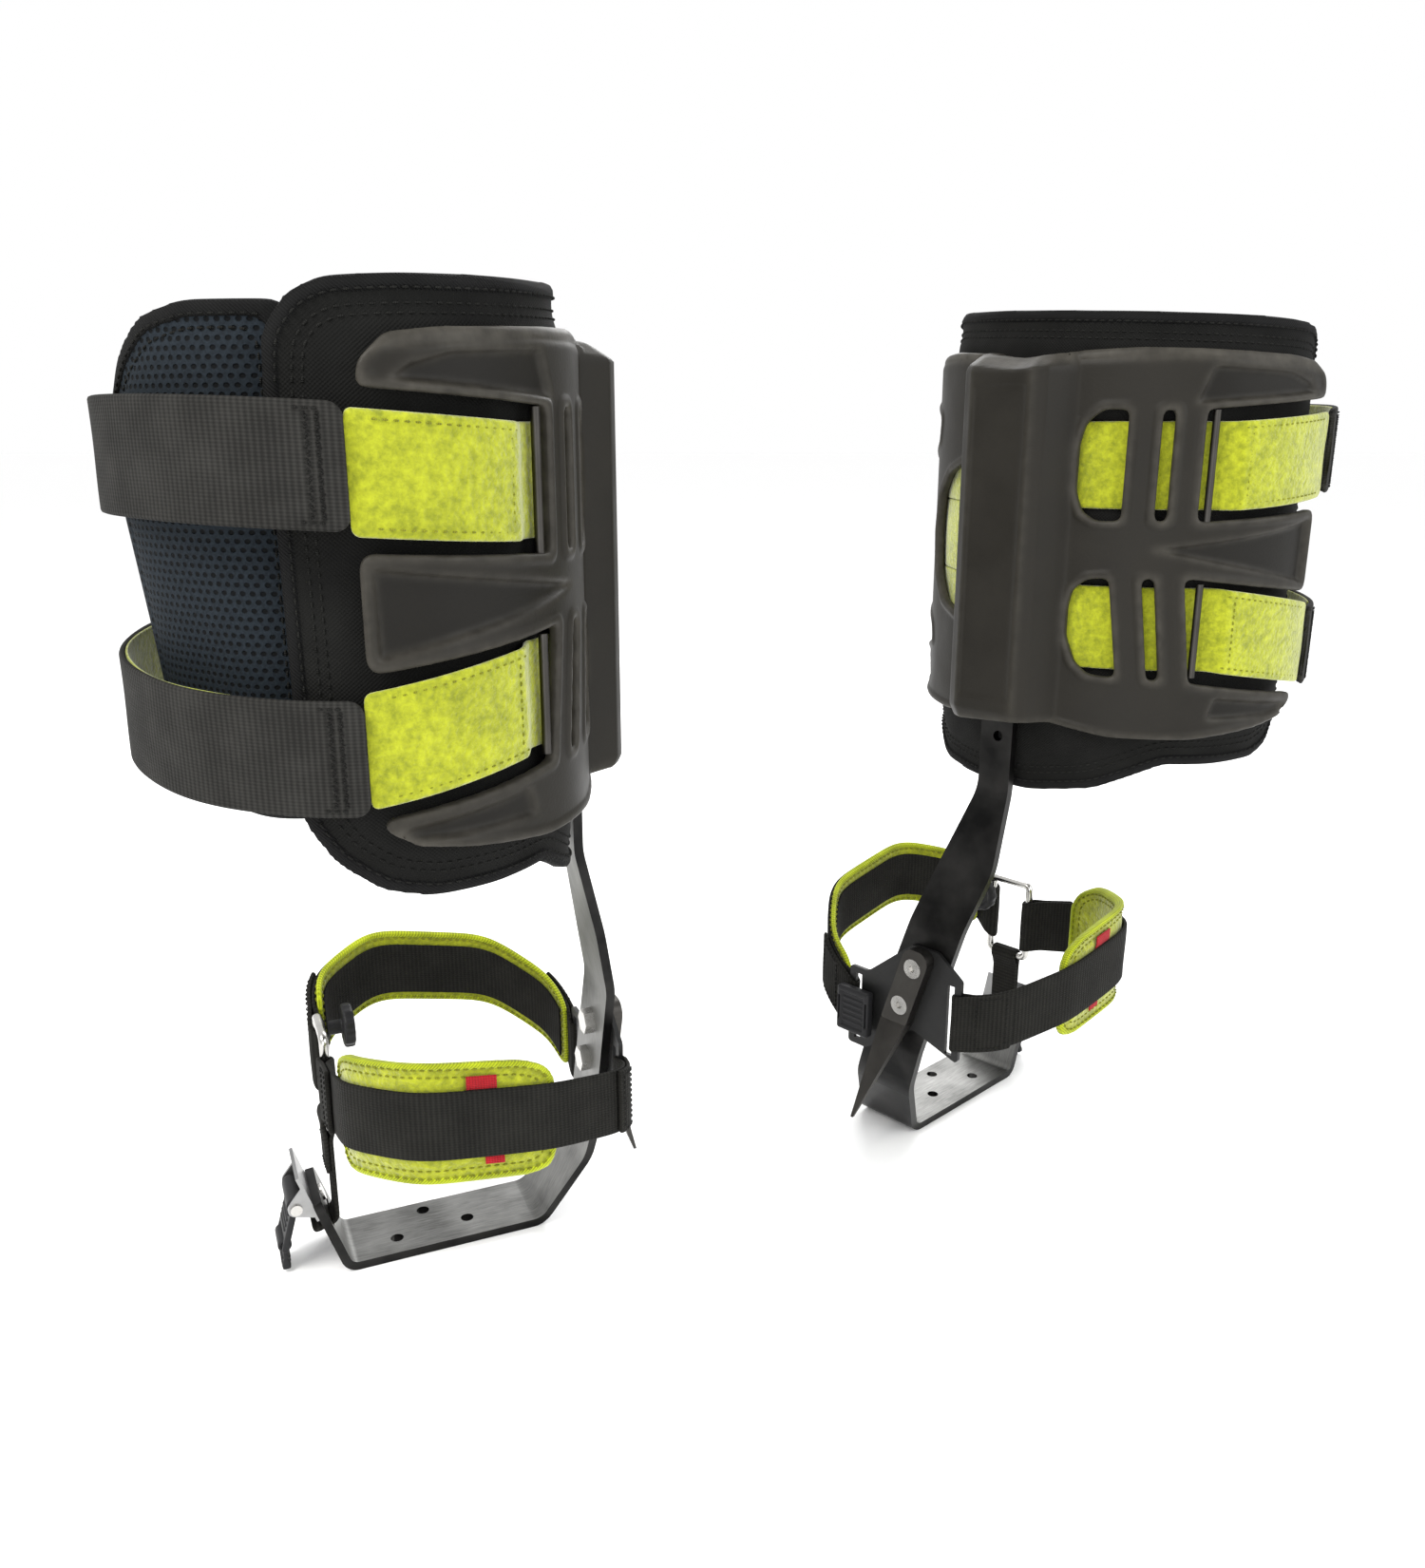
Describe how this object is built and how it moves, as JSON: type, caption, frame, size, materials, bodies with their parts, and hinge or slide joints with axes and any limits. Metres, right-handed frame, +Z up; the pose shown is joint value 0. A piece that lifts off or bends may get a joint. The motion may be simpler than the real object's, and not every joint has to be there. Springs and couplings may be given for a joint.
{
  "type": "tree climbing spurs",
  "caption": "Pair of tree climbing spurs: flat-bar stirrups with side gaffs, height-adjustable padded calf cuffs with hook-and-loop straps, foot straps and lever buckles.",
  "frame": {"origin": "middle of the pair's bounding box, on the ground under the sole plates", "axes": "+Z up along the shanks; +X from the left spur to the right spur; +Y roughly towards the toes, which point about 23 (left) and 44 (right) degrees to the left of +Y"},
  "size_m": [0.4983, 0.3548, 0.4236],
  "materials": {
    "aluminium_dark": "dark anodised outside, brushed grey inside",
    "aluminium_block": "satin",
    "steel_dark": "dark oiled",
    "steel_bright": "bright zinc",
    "steel_grey": "brushed",
    "steel_black": "black powder coat",
    "shell_plastic": "matte, dark warm grey",
    "plastic_black": "matte",
    "lime_fabric": "looped pile, lime",
    "webbing_black": "woven webbing",
    "pad_fabric": "woven cover, bound edge",
    "mesh_fabric": "air mesh",
    "label_red": "woven tape"
  },
  "bodies": {
    "spurs": {"left_stirrup_shank": "aluminium_dark", "left_gaff": "steel_dark", "left_gaff_screws": "steel_bright", "left_gaff_nuts": "steel_bright", "left_strap_bracket": "steel_black", "left_heel_strap": "webbing_black", "left_heel_pad": "lime_fabric", "left_heel_label": "label_red", "left_instep_strap": "webbing_black", "left_instep_lining": "lime_fabric", "left_instep_block": "plastic_black", "left_ankle_ring": "steel_bright", "left_ankle_stud": "plastic_black", "left_side_strap": "webbing_black", "left_buckle_frame": "steel_grey", "left_buckle_rivet": "steel_bright", "left_buckle_pin": "steel_bright", "right_stirrup_shank": "aluminium_dark", "right_gaff": "steel_dark", "right_gaff_screws": "steel_bright", "right_gaff_nuts": "steel_bright", "right_strap_bracket": "steel_black", "right_heel_strap": "webbing_black", "right_heel_pad": "lime_fabric", "right_heel_label": "label_red", "right_instep_strap": "webbing_black", "right_instep_lining": "lime_fabric", "right_instep_block": "plastic_black", "right_ankle_ring": "steel_bright", "right_ankle_stud": "plastic_black", "right_side_strap": "webbing_black", "right_buckle_frame": "steel_grey", "right_buckle_rivet": "steel_bright", "right_buckle_pin": "steel_bright"},
    "left_cuff": {"left_cuff_shell": "shell_plastic", "left_clamp_block": "aluminium_block", "left_height_screws": "steel_bright", "left_calf_pad": "pad_fabric", "left_tongue": "mesh_fabric", "left_upper_base_strap": "lime_fabric", "left_lower_base_strap": "lime_fabric", "left_upper_closing_strap": "webbing_black", "left_lower_closing_strap": "webbing_black", "left_strap_rods": "steel_bright"},
    "left_lever": {"left_buckle_lever": "plastic_black"},
    "left_tab": {"left_pull_tab": "plastic_black"},
    "right_cuff": {"right_cuff_shell": "shell_plastic", "right_clamp_block": "aluminium_block", "right_height_screws": "steel_bright", "right_calf_pad": "pad_fabric", "right_tongue": "mesh_fabric", "right_upper_base_strap": "lime_fabric", "right_lower_base_strap": "lime_fabric", "right_upper_closing_strap": "webbing_black", "right_lower_closing_strap": "webbing_black", "right_strap_rods": "steel_bright"},
    "right_lever": {"right_buckle_lever": "plastic_black"},
    "right_tab": {"right_pull_tab": "plastic_black"}
  },
  "joints": [
    {"name": "left_cuff_height", "type": "slide", "parent": "spurs", "child": "left_cuff", "axis": [0, 0, 1], "range_m": [0, 0.04]},
    {"name": "left_lever_hinge", "type": "hinge", "parent": "spurs", "child": "left_lever", "pos_m": [-0.22827, -0.03905, 0.03529], "axis": [-0.3971, 0.9178, 0], "range_deg": [0, 100]},
    {"name": "left_tab_hinge", "type": "hinge", "parent": "left_lever", "child": "left_tab", "pos_m": [-0.23384, -0.04146, 0.01404], "axis": [-0.3971, 0.9178, 0], "range_deg": [-40, 80]},
    {"name": "right_cuff_height", "type": "slide", "parent": "spurs", "child": "right_cuff", "axis": [0, 0, 1], "range_m": [0, 0.04]},
    {"name": "right_lever_hinge", "type": "hinge", "parent": "spurs", "child": "right_lever", "pos_m": [0.14331, 0.16419, 0.03529], "axis": [0.6921, -0.7218, 0], "range_deg": [0, 100]},
    {"name": "right_tab_hinge", "type": "hinge", "parent": "right_lever", "child": "right_tab", "pos_m": [0.14769, 0.16839, 0.01404], "axis": [0.6921, -0.7218, 0], "range_deg": [-40, 80]}
  ]
}
